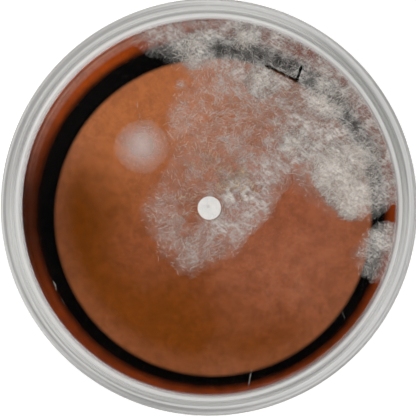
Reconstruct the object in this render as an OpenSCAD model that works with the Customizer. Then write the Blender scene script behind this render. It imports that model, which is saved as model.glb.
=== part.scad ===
// Vented culture dish, 90 mm class, poured with agar and closed with its lid.
// Millimetres. The axis of the dish is Z and the foot ring stands on z = 0.

/* [Lid] */
// Outer diameter of the lid's skirt
lid_od = 94; // [88:0.5:96]
// Height of the closed dish, from the foot ring to the top of the stacking bead
closed_h = 16; // [15:0.5:20]
// Thickness of the lid's flat plate
plate_t = 0.8; // [0.7:0.05:1.2]
// Wall thickness of the lid's skirt
skirt_t = 0.9; // [0.8:0.05:1.2]
// Depth of the skirt, from the top of the plate to its lower edge
skirt_h = 7.6; // [6:0.2:9]
// Radius of the lid's outer edge
lid_edge_r = 0.8; // [0.4:0.1:1]
// Height of the vent ribs that hold the lid off the base's rim
vent_h = 0.6; // [0.4:0.1:0.8]
// Number of vent ribs
vent_count = 3; // [3:1:6]
// Height of the stacking bead above the plate
bead_h = 0.4; // [0.3:0.05:0.45]

/* [Base] */
// Radial gap between the lid's skirt and the base's wall
lid_gap = 1.35; // [0.8:0.05:1.6]
// Wall thickness of the base
wall_t = 1; // [0.8:0.05:1.2]
// Thickness of the base's floor
floor_t = 0.85; // [0.7:0.05:1.2]
// Draft angle of the base's wall
draft = 1.4; // [0.5:0.1:2]
// Height of the foot ring
foot_h = 0.5; // [0.5:0.05:0.8]

/* [Contents] */
// Depth of the agar
agar_depth = 3.75; // [2.5:0.25:5]
// Radius of the meniscus at the wall
meniscus_r = 1.2; // [0.8:0.1:1.6]
// Diameter of the paper disc
disc_d = 5.4; // [5:0.1:6.5]
// Thickness of the paper disc
disc_t = 0.5; // [0.4:0.05:0.8]
// Thickness of the mould's flat mats
mat_t = 0.5; // [0.3:0.05:0.8]
// Thickness of the tufts that stand on the mat along the rim
tuft_t = 0.9; // [0.5:0.1:1.4]

/* [Hidden] */
$fn = 160;

// Heights, from the bench up
floor_z = foot_h + floor_t;
agar_z = floor_z + agar_depth;
plate_z = closed_h - bead_h;
ceiling_z = plate_z - plate_t;
rim_z = ceiling_z - vent_h;
skirt_z = plate_z - skirt_h;

// Radii
lid_r = lid_od / 2;
skirt_in_r = lid_r - skirt_t;
rim_in_r = skirt_in_r - lid_gap - wall_t;
heel = 0.6;
foot_out_r = outer_r(foot_h) - heel - 0.5;
foot_in_r = foot_out_r - 1.2;
bead_in_r = foot_out_r + 0.5;
bead_out_r = bead_in_r + 1;
meniscus_in_r = inner_r(agar_z) - meniscus_r;
meniscus_h = 0.5;

// Small edges
edge_c = 0.2;
inner_c = 0.6;
lid_fillet_r = 0.4;
overlap = 0.1;

// Vent ribs
vent_w = 1;
vent_in_r = rim_in_r + 0.2;

// Gate marks, where the plastic was fed into the mould
gate_r = 1.1;
gate_nub_r = 0.4;
gate_depth = 0.2;

// Where the paper disc lies, and the bare ring around it
disc_at = [-0.1, -0.2];
disc_gap = 0.3;

// The flat agar inside the meniscus is as far as the mould spreads
growth_r = meniscus_in_r - 0.2;

// Lobes of each mat: centre x, centre y, radius
centre_lobes = [
    [0, 0, 8], [8, 2, 7.5], [13, 7, 5], [-11, -1, 6], [-8, -5, 6.5], [-5, -10, 6.5], [3, -8, 5],
    [-3.5, 8, 7.5], [4, 13, 7]
];
rim_lobes = [
    [-12, 38, 5], [-3, 37, 7], [6, 33, 9], [15, 31, 11], [22, 26, 13], [27, 19, 13],
    [30, 9, 11.5], [34, 4, 7.5], [38, 5, 5], [-5, 20, 6], [0, 26, 8], [9, 23, 9],
    [17, 14, 7]
];
tuft_lobes = [
    [31, 8, 6.5], [33, 3, 5], [35, 12, 4], [20, 14, 3], [27, 25, 4], [12, 29, 3], [-4, 36, 3],
    [8, 39, 2.5]
];
edge_lobes = [[39, -7, 3.5], [37.5, -12, 4.5], [34.5, -12, 3]];

// Bare gap between the mat at the centre and the one along the rim
mat_gap = 0.3;

young_at = [-15.8, 14];
young_r = 6;
young_h = 0.6;

// Inner and outer radius of the base's drafted wall at height z
function inner_r(z) = rim_in_r - (rim_z - z) * tan(draft);
function outer_r(z) = inner_r(z) + wall_t;

// What a quarter circle of radius r leaves of its square, in the corner away from the origin
module corner(r) {
    difference() {
        square(r + overlap);
        circle(r = r);
    }
}

module base_profile() {
    polygon([
        [0, foot_h],
        [foot_in_r, foot_h],
        [foot_in_r + edge_c, 0],
        [foot_out_r - edge_c, 0],
        [foot_out_r, foot_h],
        [outer_r(foot_h) - heel, foot_h],
        [outer_r(foot_h + heel), foot_h + heel],
        [outer_r(rim_z - edge_c), rim_z - edge_c],
        [outer_r(rim_z) - edge_c, rim_z],
        [inner_r(rim_z) + edge_c, rim_z],
        [inner_r(rim_z - edge_c), rim_z - edge_c],
        [inner_r(floor_z + inner_c), floor_z + inner_c],
        [inner_r(floor_z) - inner_c, floor_z],
        [0, floor_z]
    ]);
}

module agar_profile() {
    difference() {
        polygon([
            [0, floor_z],
            [inner_r(floor_z) - inner_c, floor_z],
            [inner_r(floor_z + inner_c), floor_z + inner_c],
            [inner_r(agar_z + meniscus_h), agar_z + meniscus_h],
            [0, agar_z + meniscus_h]
        ]);
        translate([0, agar_z]) square([meniscus_in_r, 2 * meniscus_h]);
        translate([meniscus_in_r, agar_z + meniscus_r]) circle(r = meniscus_r);
    }
}

module lid_profile() {
    difference() {
        union() {
            translate([0, ceiling_z]) square([lid_r, plate_t]);
            polygon([
                [skirt_in_r, ceiling_z + overlap],
                [skirt_in_r, skirt_z + edge_c],
                [skirt_in_r + edge_c, skirt_z],
                [lid_r - edge_c, skirt_z],
                [lid_r, skirt_z + edge_c],
                [lid_r, ceiling_z + overlap]
            ]);
            translate([skirt_in_r - lid_fillet_r, ceiling_z - lid_fillet_r]) corner(lid_fillet_r);
        }
        translate([lid_r - lid_edge_r, plate_z - lid_edge_r]) corner(lid_edge_r);
    }
    polygon([
        [bead_in_r, plate_z - overlap],
        [bead_in_r, plate_z],
        [bead_in_r + edge_c, closed_h],
        [bead_out_r - edge_c, closed_h],
        [bead_out_r, plate_z],
        [bead_out_r, plate_z - overlap]
    ]);
}

// One rib under the lid's plate, reaching from the skirt over most of the base's rim
module vent_rib() {
    translate([vent_in_r, -vent_w / 2, rim_z])
        cube([skirt_in_r + overlap - vent_in_r, vent_w, vent_h + overlap]);
}

// A shallow round recess cut upwards from z = 0, with a nub left at its centre
module gate_recess() {
    difference() {
        translate([0, 0, -overlap]) cylinder(r = gate_r, h = gate_depth + overlap);
        translate([0, 0, gate_depth / 2]) cylinder(r = gate_nub_r, h = gate_depth);
    }
}

// A flat mat of round lobes on the agar, kept inside the meniscus
module mat(lobes, z, t) {
    translate([0, 0, z]) linear_extrude(t) intersection() {
        circle(r = growth_r);
        union() {
            for (lobe = lobes) translate([lobe[0], lobe[1]]) circle(r = lobe[2]);
        }
    }
}

module base_dish() {
    color("gainsboro", 0.4) difference() {
        rotate_extrude() base_profile();
        translate([0, 0, foot_h]) gate_recess();
    }
}

module agar_medium() {
    color("sienna") rotate_extrude() agar_profile();
}

module filter_disc() {
    color("white") translate([disc_at[0], disc_at[1], agar_z]) cylinder(d = disc_d, h = disc_t);
}

module centre_colony() {
    color("rosybrown") difference() {
        mat(centre_lobes, agar_z, mat_t);
        translate([disc_at[0], disc_at[1], agar_z - overlap])
            cylinder(r = disc_d / 2 + disc_gap, h = mat_t + 2 * overlap);
    }
}

module young_colony() {
    dome_r = (young_r * young_r + young_h * young_h) / (2 * young_h);
    color("mistyrose") translate([young_at[0], young_at[1], agar_z]) rotate_extrude() intersection() {
        translate([0, young_h - dome_r]) circle(r = dome_r, $fn = 1440);
        square([young_r + 1, young_h + 1]);
    }
}

module rim_colony() {
    color("rosybrown") difference() {
        mat(rim_lobes, agar_z, mat_t);
        for (lobe = centre_lobes) translate([lobe[0], lobe[1], agar_z - overlap])
            cylinder(r = lobe[2] + mat_gap, h = mat_t + 2 * overlap);
    }
}

module rim_tufts() {
    color("linen") mat(tuft_lobes, agar_z + mat_t, tuft_t);
}

module edge_colony() {
    color("linen") mat(edge_lobes, agar_z, mat_t);
}

module lid() {
    color("whitesmoke", 0.3) {
        difference() {
            rotate_extrude() lid_profile();
            translate([0, 0, plate_z]) mirror([0, 0, 1]) gate_recess();
        }
        for (i = [0:vent_count - 1]) rotate([0, 0, 90 + i * 360 / vent_count]) vent_rib();
    }
}

base_dish();
agar_medium();
filter_disc();
centre_colony();
young_colony();
rim_colony();
rim_tufts();
edge_colony();
lid();
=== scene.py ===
"""Looks of the petri dish: clear plastic, poured agar, paper disc and mould, around the CAD frame."""
import math

import bpy
import numpy as np
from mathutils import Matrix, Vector
from mathutils.bvhtree import BVHTree


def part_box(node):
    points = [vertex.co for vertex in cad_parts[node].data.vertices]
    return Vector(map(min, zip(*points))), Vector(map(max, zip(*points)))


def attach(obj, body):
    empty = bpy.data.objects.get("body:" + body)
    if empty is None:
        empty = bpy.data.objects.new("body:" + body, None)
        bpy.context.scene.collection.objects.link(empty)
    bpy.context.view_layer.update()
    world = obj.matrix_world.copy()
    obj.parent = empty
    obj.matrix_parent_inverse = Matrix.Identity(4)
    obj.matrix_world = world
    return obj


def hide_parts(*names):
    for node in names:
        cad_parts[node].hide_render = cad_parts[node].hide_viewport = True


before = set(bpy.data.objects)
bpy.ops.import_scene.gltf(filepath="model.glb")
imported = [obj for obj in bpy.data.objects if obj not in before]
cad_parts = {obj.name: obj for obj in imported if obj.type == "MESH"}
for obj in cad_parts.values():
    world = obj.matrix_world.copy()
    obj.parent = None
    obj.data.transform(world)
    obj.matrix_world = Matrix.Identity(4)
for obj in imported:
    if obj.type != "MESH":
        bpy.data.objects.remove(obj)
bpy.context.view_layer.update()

MM = 0.001
lid_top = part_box("lid")[1].z
gel_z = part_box("rim_colony")[0].z
agar_low, agar_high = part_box("agar_medium")
disc_low, disc_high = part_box("filter_disc")

# Sizes on the CAD model that its boxes don't give: the bead on the lid, the gel's meniscus, the
# radius of the flat gel inside it and the chamfer round its floor, in millimetres, and the wall's draft
BEAD = 0.4
MENISCUS = 1.2
FLAT_R = 42.33
FLOOR_CHAMFER = 0.6
DRAFT_DEGREES = 1.4


def new_piece(name, verts, faces, smooth=True):
    """A mesh object, linked to the scene."""
    mesh = bpy.data.meshes.new(name)
    mesh.from_pydata(verts, [], faces)
    mesh.polygons.foreach_set("use_smooth", [smooth] * len(mesh.polygons))
    made = bpy.data.objects.new(name, mesh)
    bpy.context.scene.collection.objects.link(made)
    return made


# ---------------------------------------------------------------- shader nodes

def add(tree, kind, settings=None, inputs=None):
    """A shader node with its settings, and its inputs set or linked."""
    made = tree.nodes.new(kind)
    for name, value in (settings or {}).items():
        setattr(made, name, value)
    for name, value in (inputs or {}).items():
        if isinstance(value, bpy.types.NodeSocket):
            tree.links.new(value, made.inputs[name])
        else:
            made.inputs[name].default_value = value
    return made


def noise(tree, at, scale, detail=3.0, rough=0.5):
    """Noise in 0 to 1, scale given in features per millimetre."""
    made = add(tree, "ShaderNodeTexNoise", inputs={
        "Vector": at, "Scale": scale, "Detail": detail, "Roughness": rough
    })
    return made.outputs["Fac"]


def spread(tree, value, low, high, to_low=0.0, to_high=1.0):
    """Smooth step of value from low to high."""
    made = add(tree, "ShaderNodeMapRange", {"interpolation_type": "SMOOTHSTEP"}, {
        "Value": value, "From Min": low, "From Max": high, "To Min": to_low, "To Max": to_high
    })
    return made.outputs["Result"]


def math_node(tree, operation, a, b):
    made = add(tree, "ShaderNodeMath", {"operation": operation}, {0: a, 1: b})
    return made.outputs["Value"]


def times(tree, a, b):
    return math_node(tree, "MULTIPLY", a, b)


def stretch(tree, at, factors):
    """Coordinates scaled by a factor along each axis."""
    made = add(tree, "ShaderNodeVectorMath", {"operation": "MULTIPLY"}, {0: at, 1: factors})
    return made.outputs["Vector"]


def rotated(tree, at, angle):
    """Coordinates turned about the dish's axis."""
    made = add(tree, "ShaderNodeVectorRotate", {"rotation_type": "Z_AXIS"}, {
        "Vector": at, "Angle": angle
    })
    return made.outputs["Vector"]


def reach(tree, at, centre=(0, 0)):
    """Distance from an upright line through centre."""
    flat = stretch(tree, at, (1, 1, 0))
    made = add(tree, "ShaderNodeVectorMath", {"operation": "DISTANCE"}, {
        0: flat, 1: (centre[0], centre[1], 0)
    })
    return made.outputs["Value"]


def disc_mask(tree, at, centre, radius, soft):
    """1 inside a circle, fading to 0 over soft millimetres across its edge."""
    return spread(tree, reach(tree, at, centre), radius - soft / 2, radius + soft / 2, 1.0, 0.0)


def ring_mask(tree, radius, start, full, fading, end, most=1.0):
    """0 up to the radius start, most from full to fading, and 0 again from end."""
    return times(tree, spread(tree, radius, start, full), spread(tree, radius, fading, end, most, 0.0))


def mix(tree, factor, a, b):
    """Colour a blended to colour b."""
    made = add(tree, "ShaderNodeMix", {"data_type": "RGBA"})
    for index, value in ((0, factor), (6, a), (7, b)):
        socket = made.inputs[index]
        if isinstance(value, bpy.types.NodeSocket):
            tree.links.new(value, socket)
        else:
            socket.default_value = value if index == 0 else (*value, 1)
    return made.outputs[2]


def bump(tree, height, strength, distance):
    made = add(tree, "ShaderNodeBump", inputs={
        "Height": height, "Strength": strength, "Distance": distance
    })
    return made.outputs["Normal"]


def turning(tree, at):
    """Distance from the axis, and coordinates in which noise runs in long arcs round the axis."""
    radius = reach(tree, at)
    unit = add(tree, "ShaderNodeVectorMath", {"operation": "NORMALIZE"}, {
        0: stretch(tree, at, (1, 1, 0))
    })
    parts = add(tree, "ShaderNodeSeparateXYZ", inputs={"Vector": unit.outputs["Vector"]})
    arcs = add(tree, "ShaderNodeCombineXYZ", inputs={
        "X": parts.outputs["X"], "Y": parts.outputs["Y"], "Z": radius
    })
    return radius, arcs.outputs["Vector"]


def see_through(tree, solid, surface):
    """The surface where solid is 1, and nothing where it is 0."""
    clear = add(tree, "ShaderNodeBsdfTransparent")
    both = add(tree, "ShaderNodeMixShader", inputs={
        0: solid, 1: clear.outputs["BSDF"], 2: surface.outputs["BSDF"]
    })
    return both.outputs["Shader"]


def new_material(name):
    """An empty node material, its output's surface socket, and object coordinates in millimetres."""
    material = bpy.data.materials.new(name)
    material.use_nodes = True
    tree = material.node_tree
    tree.nodes.clear()
    out = add(tree, "ShaderNodeOutputMaterial")
    coords = add(tree, "ShaderNodeTexCoord")
    scaled = add(tree, "ShaderNodeVectorMath", {"operation": "SCALE"}, {
        0: coords.outputs["Object"], "Scale": 1 / MM
    })
    return material, tree, out.inputs["Surface"], scaled.outputs["Vector"]


# ---------------------------------------------------------------- camera and studio

def make_camera():
    """Looks down almost square to the lid, from a little to its right."""
    data = bpy.data.cameras.new("camera")
    data.sensor_width = 36
    data.lens = 148.2
    data.shift_x = 0.001
    data.shift_y = -0.002
    data.dof.use_dof = False
    camera = bpy.data.objects.new("camera", data)
    bpy.context.scene.collection.objects.link(camera)
    side = 21.7 * MM
    height = 400 * MM
    aim_z = lid_top - 1.2 * MM
    camera.location = (side, 0, height)
    camera.rotation_euler = (0, math.atan2(side, height - aim_z), 0)
    bpy.context.scene.camera = camera


def make_world():
    """Bright round the horizon, grey above it and dark overhead, so that the flat lid mirrors nothing."""
    world = bpy.data.worlds.new("studio")
    world.use_nodes = True
    tree = world.node_tree
    tree.nodes.clear()
    coords = add(tree, "ShaderNodeTexCoord")
    parts = add(tree, "ShaderNodeSeparateXYZ", inputs={"Vector": coords.outputs["Generated"]})
    height = parts.outputs["Z"]
    horizon = spread(tree, height, 0.06, 0.30, 1.0, 0.42)
    overhead = spread(tree, height, 0.62, 0.93, 1.0, 0.0)
    back = add(tree, "ShaderNodeBackground", inputs={
        "Color": (1, 0.995, 0.985, 1), "Strength": times(tree, horizon, overhead)
    })
    out = add(tree, "ShaderNodeOutputWorld")
    tree.links.new(back.outputs["Background"], out.inputs["Surface"])
    bpy.context.scene.world = world


def make_light(name, place, size, power, tint):
    """A square soft box that faces the dish."""
    data = bpy.data.lights.new(name, "AREA")
    data.size = size
    data.energy = power
    data.color = tint
    light = bpy.data.objects.new(name, data)
    bpy.context.scene.collection.objects.link(light)
    light.location = place
    light.rotation_euler = Vector(place).to_track_quat("Z", "Y").to_euler()


def make_floor():
    """A wide white table top."""
    size = 40
    corners = [(-size, -size, 0), (size, -size, 0), (size, size, 0), (-size, size, 0)]
    floor = new_piece("floor", corners, [(0, 1, 2, 3)], smooth=False)
    material = bpy.data.materials.new("floor")
    material.use_nodes = True
    surface = material.node_tree.nodes["Principled BSDF"]
    surface.inputs["Base Color"].default_value = (0.93, 0.93, 0.93, 1)
    surface.inputs["Roughness"].default_value = 0.9
    surface.inputs["Specular IOR Level"].default_value = 0.1
    surface.inputs["Emission Color"].default_value = (1, 1, 1, 1)
    surface.inputs["Emission Strength"].default_value = 0.42
    floor.data.materials.append(material)


def make_studio():
    make_world()
    make_floor()
    make_light("key", (-0.28, 0.25, 0.62), 0.36, 1.75, (1, 0.985, 0.96))
    make_light("fill", (0.28, -0.25, 0.62), 0.36, 1.15, (0.97, 0.985, 1))


# ---------------------------------------------------------------- materials

# Colours of the milky rim: its darker and paler rings, painted shade and reflection in place of what the
# clear walls show, and the painted highlight line inside them
RIM_SHADE_RING = (0.40, 0.395, 0.385)
RIM_LIT_RING = (0.82, 0.82, 0.81)
RIM_HIGHLIGHT_LINE = (0.97, 0.97, 0.96)


def plastic(name, tint, haze_edge, haze_low):
    """Clear polystyrene with a milky rim, in soft rings of painted shade and reflection, outside haze_edge
    and above haze_low.

    The rim starts with a painted highlight line. The plastic inside it is slightly worn.
    """
    material, tree, out, at = new_material(name)
    radius, arcs = turning(tree, at)
    parts = add(tree, "ShaderNodeSeparateXYZ", inputs={"Vector": at})
    rim = times(tree, spread(tree, radius, haze_edge - 0.8, haze_edge + 0.8),
                spread(tree, parts.outputs["Z"], haze_low - 0.4, haze_low))
    streaks = noise(tree, stretch(tree, arcs, (1.2, 1.2, 1.5)), 1.0, 2.0, 0.5)
    milky = times(tree, spread(tree, streaks, 0.3, 0.75, 0.60, 0.88), rim)
    rings = noise(tree, stretch(tree, arcs, (0.7, 0.7, 1.0)), 1.0, 2.0, 0.5)
    # painted shade and reflection: darker and paler rings over the milky rim
    painted_haze = mix(tree, spread(tree, rings, 0.36, 0.64), RIM_SHADE_RING, RIM_LIT_RING)
    # painted highlight: the white line where the rim starts
    highlight_line = ring_mask(tree, radius, haze_edge, haze_edge + 0.5, haze_edge + 0.8, haze_edge + 1.3, 0.85)
    painted_haze = mix(tree, highlight_line, painted_haze, RIM_HIGHLIGHT_LINE)
    inside = math_node(tree, "SUBTRACT", 1.0, rim)
    fine = noise(tree, at, 0.6, 3.0, 0.6)
    worn = times(tree, spread(tree, fine, 0.35, 0.8, 0.02, 0.07), inside)
    roughness = math_node(tree, "ADD", worn, times(tree, rim, 0.27))
    waves = bump(tree, noise(tree, at, 0.12, 2.0), 0.12, 0.0004)
    clear = add(tree, "ShaderNodeBsdfPrincipled", inputs={
        "Base Color": (*tint, 1), "Roughness": roughness, "IOR": 1.58,
        "Transmission Weight": 1.0, "Normal": waves
    })
    hazy = add(tree, "ShaderNodeBsdfPrincipled", inputs={
        "Base Color": painted_haze, "Roughness": 0.35
    })
    haze = add(tree, "ShaderNodeMixShader", inputs={
        0: milky, 1: clear.outputs["BSDF"], 2: hazy.outputs["BSDF"]
    })
    passing = add(tree, "ShaderNodeBsdfTransparent", inputs={"Color": (0.93, 0.93, 0.93, 1)})
    path = add(tree, "ShaderNodeLightPath")
    both = add(tree, "ShaderNodeMixShader", inputs={
        0: path.outputs["Is Shadow Ray"], 1: haze.outputs["Shader"], 2: passing.outputs["BSDF"]
    })
    tree.links.new(both.outputs["Shader"], out)
    return material


# Colours of the gel, as the light of the studio shows them: inside the dark ring, the ring, and
# the band outside it. The ring is painted shade where no light comes up through the gel, and the
# lit, shade and highlight colours are painted light, shade and highlight
GEL = (0.200, 0.050, 0.006)
GEL_LIT = (0.47, 0.150, 0.050)
GEL_RED = (0.33, 0.100, 0.045)
GEL_SHADE_LEFT = (0.145, 0.034, 0.002)
GEL_HAZE = (0.42, 0.16, 0.085)
GEL_RING_SHADE = (0.0012, 0.0011, 0.001)
BAND = (0.19, 0.028, 0.003)
BAND_LIT = (0.38, 0.060, 0.005)
BAND_SHADE = (0.055, 0.009, 0.001)
BAND_PINK_HIGHLIGHT = (0.40, 0.18, 0.125)


def gel_inside(tree, at):
    """Colour inside the ring: painted light at the upper left, red at the right, painted shade at the left.
    """
    # painted light: a soft pool of brighter colour at the upper left
    colour = mix(tree, disc_mask(tree, at, (-15, 22), 24, 34), GEL, GEL_LIT)
    colour = mix(tree, disc_mask(tree, at, (18, -5), 20, 26), colour, GEL_RED)
    # painted shade: darker colour towards the left
    colour = mix(tree, disc_mask(tree, at, (-34, -3), 12, 20), colour, GEL_SHADE_LEFT)
    broad = noise(tree, at, 0.05, 2.0, 0.5)
    colour = mix(tree, spread(tree, broad, 0.45, 0.75, 0.0, 0.25), colour, GEL_HAZE)
    for place in ((-8, 5), (-13, -9)):
        blush = times(tree, disc_mask(tree, at, place, 8, 13), 0.5)
        colour = mix(tree, blush, colour, GEL_RED)
    cloudy = spread(tree, noise(tree, at, 0.22, 5.0, 0.7), 0.42, 0.66)
    for place, size, most in (((19, -15), 8, 0.55), ((-11, 12), 8, 0.35), ((9, -14), 8, 0.25)):
        bloom = times(tree, disc_mask(tree, at, place, size, 12), most)
        colour = mix(tree, times(tree, bloom, cloudy), colour, GEL_HAZE)
    near_ring = math_node(tree, "SUBTRACT", 1.0, disc_mask(tree, at, (1.5, -0.5), 34.5, 5.0))
    return mix(tree, times(tree, near_ring, 0.25), colour, GEL_HAZE)


def gel_band(tree, at):
    """Colour between the ring and the wall: painted light with a painted pink highlight along the edge at
    the upper left, painted shade at the left and lower right.
    """
    # painted light: brighter colour at the upper left
    colour = mix(tree, disc_mask(tree, at, (-26, 32), 14, 24), BAND, BAND_LIT)
    # painted shade: darker colour at the left, and more weakly at the lower right
    colour = mix(tree, disc_mask(tree, at, (-44, -2), 14, 22), colour, BAND_SHADE)
    shaded = times(tree, disc_mask(tree, at, (30, -28), 12, 20), 0.3)
    colour = mix(tree, shaded, colour, BAND_SHADE)
    # painted highlight: a pink line along the meniscus at the upper left
    edge = ring_mask(tree, reach(tree, at), 41.0, 42.0, 42.9, 43.4, 0.75)
    edge = times(tree, edge, disc_mask(tree, at, (-24, 36), 26, 30))
    return mix(tree, edge, colour, BAND_PINK_HIGHLIGHT)


def agar():
    """Red-brown gel, mottled, with the dark ring of painted shade and the redder band outside it."""
    material, tree, out, at = new_material("agar")
    mottle = noise(tree, at, 0.35, 5.0, 0.6)
    wobble = times(tree, math_node(tree, "SUBTRACT", mottle, 0.5), 0.3)
    # painted shade: the dark ring, where no light comes up through the gel
    from_ring = math_node(tree, "ADD", reach(tree, at, (0.15, -1.25)), wobble)
    past_ring = math_node(tree, "POWER", spread(tree, from_ring, 39.2, 41.6), 1.6)
    outside = mix(tree, past_ring, GEL_RING_SHADE, gel_band(tree, at))
    inner_disc = disc_mask(tree, at, (0.55, -2.35), 36.5, 1.1)
    colour = mix(tree, inner_disc, outside, gel_inside(tree, at))
    grainy = noise(tree, at, 1.3, 4.0, 0.7)
    mottle = math_node(tree, "ADD", times(tree, mottle, 0.55), times(tree, grainy, 0.45))
    toned = add(tree, "ShaderNodeVectorMath", {"operation": "SCALE"}, {
        0: colour, "Scale": spread(tree, mottle, 0.38, 0.62, 0.84, 1.14)
    })
    surface = add(tree, "ShaderNodeBsdfPrincipled", inputs={
        "Base Color": toned.outputs["Vector"], "Roughness": 0.12, "IOR": 1.34,
        "Normal": bump(tree, noise(tree, at, 0.25, 3.0), 0.15, 0.0003)
    })
    tree.links.new(surface.outputs["BSDF"], out)
    return material


def paper():
    """White filter paper with short fibres, greyer clouds and painted shade in a small dimple near its
    centre.
    """
    material, tree, out, at = new_material("disc_paper")
    fibres = noise(tree, stretch(tree, at, (1.0, 0.35, 1.0)), 6.0, 4.0, 0.6)
    cloudy = noise(tree, at, 0.8, 3.0, 0.5)
    colour = mix(tree, spread(tree, cloudy, 0.35, 0.7), (0.92, 0.90, 0.87), (0.82, 0.82, 0.80))
    # painted shade in the dimple
    dimple_shade = times(tree, disc_mask(tree, at, (-0.4, 0.2), 0.4, 0.7), 0.6)
    colour = mix(tree, dimple_shade, colour, (0.55, 0.53, 0.52))
    colour = mix(tree, spread(tree, fibres, 0.55, 0.8, 0.0, 0.4), colour, (0.70, 0.68, 0.66))
    surface = add(tree, "ShaderNodeBsdfPrincipled", inputs={
        "Base Color": colour, "Roughness": 0.95, "Specular IOR Level": 0.2,
        "Normal": bump(tree, fibres, 0.5, 0.0001)
    })
    tree.links.new(surface.outputs["BSDF"], out)
    return material


def mould_threads(name, pale, dull):
    """Mould threads, patchy between a pale and a dull colour."""
    material, tree, out, at = new_material(name)
    patches = noise(tree, at, 0.5, 4.0, 0.6)
    surface = add(tree, "ShaderNodeBsdfPrincipled", inputs={
        "Base Color": mix(tree, spread(tree, patches, 0.35, 0.65), dull, pale),
        "Roughness": 0.9, "Specular IOR Level": 0.15, "Sheen Weight": 0.3
    })
    tree.links.new(surface.outputs["BSDF"], out)
    return material


def strands(tree, at, angle):
    """Noise drawn out into strands at an angle."""
    return noise(tree, stretch(tree, rotated(tree, at, angle), (0.45, 2.6, 1.0)), 1.0, 3.0, 0.6)


def mould_felt(name, pale, dull, most, mottled):
    """The thin felt between the threads: see-through where the growth is thin and between its strands."""
    material, tree, out, at = new_material(name)
    cover = add(tree, "ShaderNodeAttribute", {"attribute_name": "cover"})
    clumps = noise(tree, stretch(tree, rotated(tree, at, 0.6), (0.55, 1.1, 1.0)), 1.6, 5.0, 0.7)
    crossed = math_node(tree, "MAXIMUM", strands(tree, at, 0.6), strands(tree, at, -0.5))
    woven = math_node(tree, "ADD", times(tree, clumps, 0.55), times(tree, crossed, 0.45))
    solid = times(tree, cover.outputs["Fac"], spread(tree, woven, 0.40, 0.64, 1 - mottled, 1.0))
    patches = noise(tree, at, 0.4, 3.0, 0.6)
    surface = add(tree, "ShaderNodeBsdfPrincipled", inputs={
        "Base Color": mix(tree, spread(tree, patches, 0.35, 0.65), dull, pale),
        "Roughness": 0.95, "Specular IOR Level": 0.1
    })
    tree.links.new(see_through(tree, times(tree, solid, most), surface), out)
    return material


def scratched():
    """Whitish torn plastic along a scratch, brighter and duller by turns."""
    material, tree, out, at = new_material("lid_scratch")
    patches = noise(tree, at, 2.0, 3.0, 0.6)
    colour = mix(tree, spread(tree, patches, 0.3, 0.7), (0.36, 0.33, 0.31), (0.62, 0.59, 0.57))
    surface = add(tree, "ShaderNodeBsdfPrincipled", inputs={
        "Base Color": colour, "Roughness": 0.6
    })
    tree.links.new(see_through(tree, spread(tree, patches, 0.2, 0.8, 0.3, 0.6), surface), out)
    return material


def dress(piece, body, slot, material, *nodes):
    """Gives a piece its material and the body it rides on, and hides the CAD nodes it stands for. Its slot
    is not used.
    """
    piece.data.materials.append(material)
    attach(piece, body)
    if nodes:
        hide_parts(*nodes)


def paint(node, material):
    """Gives a CAD node its finished material."""
    mesh_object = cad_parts[node]
    for slot in mesh_object.material_slots:
        slot.material = material
    if not mesh_object.material_slots:
        mesh_object.data.materials.append(material)


# ---------------------------------------------------------------- noise and the gel's height, in millimetres

def value_noise(x, y, step, seed):
    """Smooth noise in 0 to 1 with features step millimetres across."""
    size = 64
    lattice = np.random.default_rng(seed).random((size, size))
    u = x / step + size / 2
    v = y / step + size / 2
    i = np.floor(u).astype(int)
    j = np.floor(v).astype(int)
    s = u - i
    t = v - j
    s = s * s * (3 - 2 * s)
    t = t * t * (3 - 2 * t)
    i0 = i % size
    i1 = (i + 1) % size
    j0 = j % size
    j1 = (j + 1) % size
    low = lattice[i0, j0] * (1 - s) + lattice[i1, j0] * s
    high = lattice[i0, j1] * (1 - s) + lattice[i1, j1] * s
    return low * (1 - t) + high * t


def rough_noise(x, y, step, seed):
    """Three octaves of value_noise."""
    total = value_noise(x, y, step, seed) * 0.55
    total += value_noise(x, y, step / 2.1, seed + 1) * 0.3
    total += value_noise(x, y, step / 4.3, seed + 2) * 0.15
    return total


def soft_step(value, low, high):
    t = np.clip((value - low) / (high - low), 0, 1)
    return t * t * (3 - 2 * t)


def away_from(x, y, start, end):
    """Distance from the points x, y to a straight line between two points."""
    dx = end[0] - start[0]
    dy = end[1] - start[1]
    along = ((x - start[0]) * dx + (y - start[1]) * dy) / (dx * dx + dy * dy)
    along = np.clip(along, 0, 1)
    return np.hypot(x - start[0] - along * dx, y - start[1] - along * dy)


def gel_height(x, y):
    """Height of the gel's surface, with its meniscus."""
    inward = np.clip(np.hypot(x, y) - FLAT_R, 0, MENISCUS * 0.99)
    return gel_z / MM + MENISCUS - np.sqrt(MENISCUS ** 2 - inward ** 2)


# ---------------------------------------------------------------- growth

# Each colony is worked out on a lattice of this step, that reaches some steps past it, and may
# spill a few steps over the edge of its CAD mat
LATTICE = 0.4
MARGIN_STEPS = 8
SPILL_STEPS = 3

# Step of the felt's mesh, and the least cover that it is made for
FELT_STEP = 0.25
LEAST_COVER = 0.02

# Rings of points along a thread, its thickness at each, and the share of longer, thicker strays
THREAD_RINGS = 5
TAPER = np.array([0.35, 0.85, 1.0, 0.8, 0.3])
STRAY_SHARE = 0.12


def crosswise(grid):
    """A grid and its copies moved by one cell each way."""
    wide = np.pad(grid, 1, mode="edge")
    return [grid, wide[:-2, 1:-1], wide[2:, 1:-1], wide[1:-1, :-2], wide[1:-1, 2:]]


def widened(grid):
    """A grid of marks, spilt over by SPILL_STEPS cells each way."""
    for turn in range(SPILL_STEPS):
        grid = np.maximum.reduce(crosswise(grid))
    return grid


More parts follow.
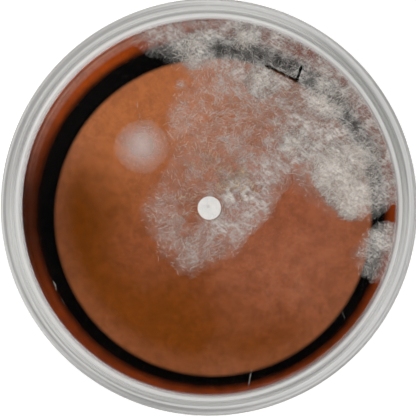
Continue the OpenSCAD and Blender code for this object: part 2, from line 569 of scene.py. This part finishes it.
class Growth:
    """One colony: where it is thick, and which way its threads run.

    Its edge fades over more lattice steps the higher fade is, except where a neighbour or the wall
    adjoins. A colony that yields stops where its first neighbour's growth starts.
    """

    def __init__(self, node, neighbours, blobs, holes, seed, patchy, name=None, fade=80, yields=False):
        self.node = node
        self.name = name or node
        self.blobs = blobs
        self.holes = holes
        self.seed = seed
        self.patchy = patchy
        graph = bpy.context.evaluated_depsgraph_get()
        self.trees = [BVHTree.FromObject(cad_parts[mat], graph) for mat in [node] + neighbours]
        self.low, self.high = (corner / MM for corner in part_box(node))
        self.low -= Vector((1, 1, 0))
        self.high += Vector((1, 1, 0))
        self.make_grid(fade, yields)

    def stands_on(self, tree, x, y):
        """Whether a CAD mat lies under x, y, with its outer edge carried on up the meniscus."""
        reached = math.hypot(x, y)
        if reached > FLAT_R + 0.8 * MENISCUS:
            return False
        inward = min(1, (FLAT_R - 0.6) / max(reached, 1))
        above = Vector((x * inward * MM, y * inward * MM, lid_top))
        return tree.ray_cast(above, Vector((0, 0, -1)))[0] is not None

    def make_grid(self, fade, yields):
        """Marks where the colony is, where it or what adjoins it is, and the latter with soft edges."""
        self.x0 = (math.floor(self.low.x / LATTICE) - MARGIN_STEPS) * LATTICE
        self.y0 = (math.floor(self.low.y / LATTICE) - MARGIN_STEPS) * LATTICE
        across = int((self.high.x - self.low.x) / LATTICE) + 2 * MARGIN_STEPS + 1
        along = int((self.high.y - self.low.y) / LATTICE) + 2 * MARGIN_STEPS + 1
        inside = np.zeros((across, along))
        beside = np.zeros((across, along))
        around = np.zeros((across, along))
        for i in range(across):
            for j in range(along):
                x = self.x0 + i * LATTICE
                y = self.y0 + j * LATTICE
                hits = [self.stands_on(tree, x, y) for tree in self.trees]
                inside[i, j] = hits[0]
                beside[i, j] = yields and hits[1]
                around[i, j] = any(hits) or math.hypot(x, y) > FLAT_R + 0.5
        self.inside = widened(inside) * (1 - widened(beside))
        self.around = widened(around)
        self.soft = self.around
        for turn in range(fade):
            self.soft = sum(crosswise(self.soft)) / 5

    def look_up(self, grid, x, y):
        """Value of a grid at x, y, blended between its cells."""
        u = np.clip((x - self.x0) / LATTICE, 0, grid.shape[0] - 1.001)
        v = np.clip((y - self.y0) / LATTICE, 0, grid.shape[1] - 1.001)
        i = u.astype(int)
        j = v.astype(int)
        s = u - i
        t = v - j
        low = grid[i, j] * (1 - s) + grid[i + 1, j] * s
        high = grid[i, j + 1] * (1 - s) + grid[i + 1, j + 1] * s
        return low * (1 - t) + high * t

    def thickness(self, x, y):
        """The blobs joined and the holes taken out of them, without any edge."""
        bare = np.ones_like(x)
        for bx, by, radius, weight in self.blobs:
            bare *= 1 - weight * np.exp(-((x - bx) ** 2 + (y - by) ** 2) / (radius * radius))
        total = 1 - bare
        for bx, by, radius, weight in self.holes:
            near = np.exp(-((x - bx) ** 2 + (y - by) ** 2) / (radius * radius))
            total = total * (1 - weight * near)
        return total

    def cover(self, x, y):
        """How thick the growth is at x, y: 0 bare to 1 dense."""
        total = self.thickness(x, y)
        clumps = rough_noise(x, y, 2.2, self.seed)
        total = total * (1 + self.patchy * (soft_step(clumps, 0.25, 0.72) * 2 - 1.1))
        for start, end, width in GAPS:
            total = total * soft_step(away_from(x, y, start, end), width * 0.4, width)
        disc = (disc_low + disc_high) / 2 / MM
        disc_r = (disc_high.x - disc_low.x) / 2 / MM
        total = total * soft_step(np.hypot(x - disc.x, y - disc.y), disc_r - 0.1, disc_r + 0.2)
        edge = self.look_up(self.soft, x, y) + 0.4 * (rough_noise(x, y, 2.0, self.seed + 3) - 0.5)
        return np.clip(total, 0, 1) * soft_step(edge, 0.5, 0.98) * self.look_up(self.inside, x, y)

    def heading(self, x, y):
        """Angle that the threads run at."""
        return -0.6 + 5.0 * (value_noise(x, y, 8.0, self.seed + 9) - 0.5)


def thread_roots(growth, per_mm2, rng):
    """Where the middles of threads are: at random, most of them where the growth is thick."""
    low, high = growth.low, growth.high
    tries = int((high.x - low.x) * (high.y - low.y) * per_mm2)
    x = rng.uniform(low.x, high.x, tries)
    y = rng.uniform(low.y, high.y, tries)
    fine = rough_noise(x, y, 1.0, growth.seed + 45)
    keep = rng.random(tries) < growth.cover(x, y) * soft_step(fine, 0.2, 0.7) * 1.3
    return x[keep], y[keep]


def tube_faces(total):
    """Faces of closed three-sided tubes, whose points come tube by tube and ring by ring."""
    points = THREAD_RINGS * 3
    sides = []
    for r in range(THREAD_RINGS - 1):
        for k in range(3):
            a = r * 3 + k
            b = r * 3 + (k + 1) % 3
            sides.append((a, b, b + 3, a + 3))
    ends = [(2, 1, 0), (points - 3, points - 2, points - 1)]
    starts = (np.arange(total) * points)[:, None, None]
    quads = np.array(sides)[None] + starts
    caps = np.array(ends)[None] + starts
    return quads.reshape(-1, 4).tolist() + caps.reshape(-1, 3).tolist()


def threads(growth, per_mm2, length, width, lift):
    """Many fine arched threads, as closed three-sided tubes that taper at both ends."""
    rng = np.random.default_rng(growth.seed + 5)
    x, y = thread_roots(growth, per_mm2, rng)
    total = len(x)
    heading = growth.heading(x, y) + rng.normal(0, 0.7, total)
    stray = rng.random(total) < STRAY_SHARE
    long = length * rng.uniform(0.4, 1.3, total) * np.where(stray, 1.6, 1.0)
    wide = width * rng.uniform(0.6, 1.5, total) * np.where(stray, 1.5, 1.0)
    rise = lift * rng.uniform(0.1, 1.0, total) ** 1.5
    bend = rng.normal(0, 0.5, total)
    along = np.linspace(-0.5, 0.5, THREAD_RINGS)
    angle = heading[:, None] + bend[:, None] * along[None, :]
    px = x[:, None] + long[:, None] * along * np.cos(angle)
    py = y[:, None] + long[:, None] * along * np.sin(angle)
    arch = 1 - (2 * along) ** 2
    pz = gel_height(px, py) + 0.02 + wide[:, None] * 0.4 + rise[:, None] * arch
    good = (growth.look_up(growth.around, px, py) > 0.3).all(axis=1)
    px, py, pz, angle, wide = px[good], py[good], pz[good], angle[good], wide[good]
    total = len(px)
    half = 0.5 * wide[:, None] * TAPER
    verts = np.zeros((total, THREAD_RINGS, 3, 3))
    for k in range(3):
        turn = math.pi / 2 + k * 2 * math.pi / 3
        out = math.cos(turn) * half
        up = math.sin(turn) * half * 0.8
        verts[:, :, k, 0] = px - np.sin(angle) * out
        verts[:, :, k, 1] = py + np.cos(angle) * out
        verts[:, :, k, 2] = pz + up
    return new_piece(growth.name + "_threads", (verts * MM).reshape(-1, 3).tolist(), tube_faces(total))


def felt(growth, thick):
    """A closed, thin relief over the growth, with its cover stored at each point."""
    low, high = growth.low, growth.high
    nx = int((high.x - low.x) / FELT_STEP) + 1
    ny = int((high.y - low.y) / FELT_STEP) + 1
    gx, gy = np.meshgrid(low.x + np.arange(nx) * FELT_STEP, low.y + np.arange(ny) * FELT_STEP, indexing="ij")
    cover = growth.cover(gx, gy)
    used = cover > LEAST_COVER
    cell = used[:-1, :-1] & used[1:, :-1] & used[:-1, 1:] & used[1:, 1:]
    need = np.zeros((nx, ny), bool)
    for corner in (need[:-1, :-1], need[1:, :-1], need[:-1, 1:], need[1:, 1:]):
        corner |= cell
    count = int(need.sum())
    number = np.zeros((nx, ny), int)
    number[need] = np.arange(count)
    relief = rough_noise(gx, gy, 1.2, growth.seed + 70)
    under = gel_height(gx, gy) + 0.01
    top = under + 0.03 + thick * cover * (0.4 + 0.9 * relief)
    verts = np.concatenate([
        np.stack([gx[need], gy[need], top[need]], 1),
        np.stack([gx[need], gy[need], under[need]], 1)
    ]) * MM
    i, j = np.nonzero(cell)
    a, b, c, d = number[i, j], number[i + 1, j], number[i + 1, j + 1], number[i, j + 1]
    upper = np.stack([a, b, c, d], 1).tolist()
    lower = np.stack([d + count, c + count, b + count, a + count], 1).tolist()
    edges = [(quad[k], quad[(k + 1) % 4]) for quad in upper for k in range(4)]
    shared = set(edges)
    sides = [(q, p, p + count, q + count) for p, q in edges if (q, p) not in shared]
    made = new_piece(growth.node + "_felt", verts.tolist(), upper + lower + sides)
    layer = made.data.attributes.new("cover", "FLOAT", "POINT")
    layer.data.foreach_set("value", np.concatenate([cover[need], np.zeros(count)]))
    return made


# Where each colony is thick: centre x, centre y, radius, weight; and the same for its bare spots
CENTRE_BLOBS = [
    (7, 3, 5.5, 0.62), (4, -5, 5, 0.45), (-8, -6, 5.5, 0.30), (-3, -10, 4.5, 0.25),
    (-3, 8, 8, 0.16), (5, 14, 6, 0.20), (-10, 2, 4, 0.14), (13, 8, 4, 0.40), (-13, -1, 3.5, 0.12),
    (-4, -14, 3.5, 0.15), (3, 2, 4, 0.35), (1, -4, 3, 0.3), (10, -3, 4, 0.40),
    (12, 1, 4, 0.30)
]
CENTRE_HOLES = [(-4, -3, 2, 0.5), (0, 5, 2.5, 0.3)]
RIM_BLOBS = [
    (-13, 41, 4, 0.6), (-7, 39, 3.5, 0.6), (-3, 35, 3, 0.6), (2, 41, 6, 0.5), (10, 41, 6, 0.5),
    (18, 38, 6, 0.45), (27, 33, 6, 0.5), (35, 23, 6, 0.4), (4, 31, 4.5, 0.45), (12, 30, 4.5, 0.55),
    (24, 24, 6, 0.55), (20, 15, 4.5, 0.55), (28, 17, 7, 0.45), (29, 9, 6, 0.65), (36, 12, 6, 0.5),
    (33, 2, 4.5, 0.75), (39, 4, 4, 0.35), (0, 24, 8, 0.16), (9, 22, 8, 0.18), (-6, 20, 5, 0.18),
    (15, 13, 5, 0.3), (-6.8, 28.3, 1, 0.5), (18, 10, 4, 0.35), (15, 26, 4.5, 0.3), (41, 3.5, 4, 0.65),
    (-9, 18, 3.5, 0.15), (22, 30, 4, 0.3), (41, 11, 3, 0.5), (39, 18, 3, 0.4), (0, 42, 4, 0.5),
    (8, 41.5, 4, 0.4), (17, 38, 4, 0.4), (28, 27, 5, 0.5), (31, 20, 5, 0.4), (17, 22, 6, 0.25)
]
RIM_HOLES = [
    (2.5, 36.5, 1.7, 0.8), (5.5, 36.3, 1.7, 0.8), (8.5, 35.8, 1.7, 0.75), (12, 35.2, 1.7, 0.75),
    (15.5, 33.6, 1.7, 0.8), (18.5, 32.2, 1.5, 0.75), (23.5, 28.5, 1.4, 0.75), (29.5, 25, 1.4, 0.75),
    (31.8, 21.5, 1.4, 0.65), (33.5, 18.5, 1.0, 0.6), (35, 15, 1.3, 0.55), (36.5, 9, 1.3, 0.65),
    (37.2, 5.5, 1.3, 0.65), (-5, 41, 1.2, 0.6), (23, 35.5, 1.2, 0.5), (5, 40.5, 1.0, 0.5)
]
TUFT_BLOBS = [
    (30, 7, 6, 0.8), (34, 12, 3.5, 0.4), (27, 24, 3.5, 0.6), (12, 29, 3, 0.6), (-4, 36, 3, 0.7),
    (8, 39, 2.5, 0.5), (33, 2, 4, 0.9), (20, 14, 2.5, 0.8)
]
OLD_BLOBS = [(6, 7, 2.6, 0.8), (3.5, 5.5, 2, 0.4), (8, 4, 2, 0.5), (-1, 11, 2.5, 0.25), (-4, 1, 3, 0.2)]
EDGE_BLOBS = [(40, -6.5, 3.2, 0.9), (38, -11, 3.5, 0.5), (36, -14, 3.5, 0.3)]
YOUNG_BLOBS = [(-15.8, 14.3, 4.4, 0.62)]

# Straight cracks where nothing grows: from, to, half width
GAPS = [((13.1, 32.5), (19.9, 29.0), 0.40), ((19.9, 29.0), (21.1, 32.3), 0.33)]


def make_threads(growth, slot, material, per_mm2, length, width, lift):
    """Threads of one colony: how many to a square millimetre, how long and wide, and how high they arch."""
    dress(threads(growth, per_mm2, length, width, lift), "base", slot, material, growth.node)


def make_felt(growth, slot, material, thick):
    """Felt of one colony, thick millimetres high where the growth is dense."""
    dress(felt(growth, thick), "base", slot, material, growth.node)


def make_growths():
    """Each colony as fine threads over a thin felt, in place of its plain CAD mat."""
    blobs = CENTRE_BLOBS + RIM_BLOBS
    holes = CENTRE_HOLES + RIM_HOLES
    centre = Growth("centre_colony", ["rim_colony", "filter_disc"], blobs, holes, 22, 0.35)
    rim = Growth("rim_colony", ["centre_colony"], blobs, holes, 22, 0.35, yields=True)
    tufts = Growth("rim_tufts", ["rim_colony"], TUFT_BLOBS, [], 33, 0.5)
    edge = Growth("edge_colony", [], EDGE_BLOBS, [], 44, 0.4)
    young = Growth("young_colony", [], YOUNG_BLOBS, [], 55, 0.0, fade=12)
    old = Growth("centre_colony", ["rim_colony", "filter_disc"], OLD_BLOBS, [], 66, 0.3, name="centre_old")

    mat_pale = (0.90, 0.87, 0.82)
    mat_dull = (0.76, 0.70, 0.66)
    mat_threads = mould_threads("mould_mat", mat_pale, mat_dull)
    tuft_threads = mould_threads("mould_tuft", (0.97, 0.91, 0.84), (0.86, 0.79, 0.71))
    haze_threads = mould_threads("mould_haze", (0.90, 0.86, 0.84), (0.84, 0.79, 0.77))
    # painted highlight and shade: cream and brown patches on the old threads
    old_lit_and_shaded_threads = mould_threads("mould_old_lit_and_shaded", (0.90, 0.70, 0.46), (0.42, 0.20, 0.09))
    mat_felt = mould_felt("mould_mat_felt", mat_pale, mat_dull, 1.0, 0.72)
    tuft_felt = mould_felt("mould_tuft_felt", (0.97, 0.90, 0.83), (0.88, 0.80, 0.73), 0.75, 0.6)
    haze_felt = mould_felt("mould_haze_felt", (0.88, 0.85, 0.84), (0.86, 0.83, 0.82), 0.75, 0.1)

    make_threads(centre, "mould_mat", mat_threads, per_mm2=14, length=1.1, width=0.036, lift=0.25)
    make_felt(centre, "mould_mat", mat_felt, thick=0.30)
    make_threads(rim, "mould_mat", mat_threads, per_mm2=10, length=1.1, width=0.040, lift=0.30)
    make_felt(rim, "mould_mat", mat_felt, thick=0.35)
    make_threads(tufts, "mould_tuft", tuft_threads, per_mm2=24, length=1.0, width=0.045, lift=0.75)
    make_felt(tufts, "mould_tuft", tuft_felt, thick=0.80)
    make_threads(edge, "mould_tuft", tuft_threads, per_mm2=14, length=1.0, width=0.045, lift=0.40)
    make_felt(edge, "mould_tuft", mat_felt, thick=0.35)
    make_threads(young, "mould_haze", haze_threads, per_mm2=4, length=0.8, width=0.025, lift=0.15)
    make_felt(young, "mould_haze", haze_felt, thick=0.25)
    make_threads(old, "mould_mat", old_lit_and_shaded_threads, per_mm2=16, length=1.3, width=0.075, lift=0.80)


# ---------------------------------------------------------------- gel

def revolve(name, profile, segments):
    """A closed solid of revolution from a profile that starts and ends on the axis."""
    rings = len(profile) - 2
    last = 2 + (rings - 1) * segments
    turns = np.arange(segments) * 2 * math.pi / segments
    verts = [(0, 0, profile[0][1]), (0, 0, profile[-1][1])]
    for radius, z in profile[1:-1]:
        verts += [(radius * math.cos(t), radius * math.sin(t), z) for t in turns]
    faces = []
    for k in range(segments):
        n = (k + 1) % segments
        faces.append((0, 2 + n, 2 + k))
        faces.append((1, last + k, last + n))
        for r in range(rings - 1):
            a = 2 + r * segments
            faces.append((a + k, a + n, a + segments + n, a + segments + k))
    return new_piece(name, verts, faces)


def swell(gel, flat_r):
    """Lifts and lowers the flat top of the gel by a few hundredths of a millimetre."""
    most = 0.04 * MM
    for vertex in gel.data.vertices:
        x, y, z = vertex.co
        inward = 1 - math.hypot(x, y) / flat_r
        if abs(z - gel_z) < 0.01 * MM and inward > 0:
            wave = float(value_noise(np.array([x / MM]), np.array([y / MM]), 6.0, 77)[0]) - 0.5
            vertex.co.z += most * wave * min(1, inward * 8)


def make_gel(material):
    """The gel, bedded slightly into the plastic it wets, with its curved meniscus and a faint swell."""
    bite = 0.04 * MM
    slope = math.tan(math.radians(DRAFT_DEGREES))
    chamfer = FLOOR_CHAMFER * MM
    meniscus = MENISCUS * MM
    floor_z = agar_low.z
    top_z = agar_high.z

    def wall_r(z):
        return agar_high.x - (top_z - z) * slope + bite

    flat_r = wall_r(gel_z) - bite - meniscus
    profile = [(0, floor_z - bite), (10 * MM, floor_z - bite), (30 * MM, floor_z - bite)]
    profile += [(wall_r(floor_z) - chamfer, floor_z - bite), (wall_r(floor_z), floor_z + chamfer)]
    profile += [(wall_r(top_z), top_z)]
    steps = 10
    steepest = math.acos(1 - (top_z - gel_z) / meniscus)
    for k in range(steps + 1):
        t = steepest * (1 - k / steps)
        profile.append((flat_r + meniscus * math.sin(t), gel_z + meniscus * (1 - math.cos(t))))
    rings = 28
    profile += [(flat_r * (1 - k / rings), gel_z) for k in range(1, rings + 1)]
    gel = revolve("agar_gel", profile, 256)
    swell(gel, flat_r)
    dress(gel, "base", "agar", material, "agar_medium")


# ---------------------------------------------------------------- marks on the lid

# Scratches on the lid: points along them in millimetres, and their width
SCRATCHES = [
    ([(10, -36.4), (9.5, -38.6), (9.2, -40.6)], 0.22),
    ([(-35.0, -16.6), (-34.4, -17.6), (-34.2, -18.8)], 0.26),
    ([(-32.9, -20.8), (-32.4, -21.8)], 0.22),
    ([(-15.9, 23.8), (-15.8, 22.4)], 0.30),
    ([(-15.3, 21.2), (-15.2, 19.6)], 0.30),
    ([(30.2, -23.4), (30.8, -24.8)], 0.26)
]
SPECKS = 70


def dust():
    """Short straight specks scattered over the lid, as points along them and their width."""
    rng = np.random.default_rng(91)
    specks = []
    for k in range(SPECKS):
        radius = 40 * math.sqrt(rng.random())
        turn = rng.random() * 2 * math.pi
        x = radius * math.cos(turn)
        y = radius * math.sin(turn)
        way = rng.random() * math.pi
        long = rng.uniform(0.1, 0.45)
        tip = (x + long * math.cos(way), y + long * math.sin(way))
        specks.append(([(x, y), tip], rng.uniform(0.06, 0.16)))
    return specks


def make_scratches():
    """Fine raised burrs along the scratches and specks on top of the lid."""
    verts = []
    faces = []
    plate = lid_top / MM - BEAD
    low = plate - 0.01
    high = plate + 0.03
    for points, width in SCRATCHES + dust():
        first = len(verts)
        count = len(points)
        for k, (x, y) in enumerate(points):
            before = points[max(k - 1, 0)]
            after = points[min(k + 1, count - 1)]
            size = math.hypot(after[0] - before[0], after[1] - before[1])
            nx = -(after[1] - before[1]) / size
            ny = (after[0] - before[0]) / size
            half = width / 2 * (0.3 if k in (0, count - 1) else 1.0)
            verts += [(x + nx * half, y + ny * half, low), (x, y, high), (x - nx * half, y - ny * half, low)]
        for k in range(count - 1):
            a = first + 3 * k
            faces += [(a, a + 1, a + 4, a + 3), (a + 1, a + 2, a + 5, a + 4), (a + 2, a, a + 3, a + 5)]
        z = first + 3 * (count - 1)
        faces += [(first + 2, first + 1, first), (z, z + 1, z + 2)]
    verts = [(x * MM, y * MM, z * MM) for x, y, z in verts]
    made = new_piece("lid_scratches", verts, faces, smooth=False)
    dress(made, "lid", "lid_plastic", scratched())


make_camera()
make_studio()
make_gel(agar())
make_scratches()
paint("lid", plastic("lid_plastic", (0.93, 0.93, 0.93), haze_edge=42.6, haze_low=14.6))
paint("base_dish", plastic("base_plastic", (0.92, 0.92, 0.92), haze_edge=42.0, haze_low=13.9))
paint("filter_disc", paper())
make_growths()
bpy.context.scene.view_settings.view_transform = "Standard"
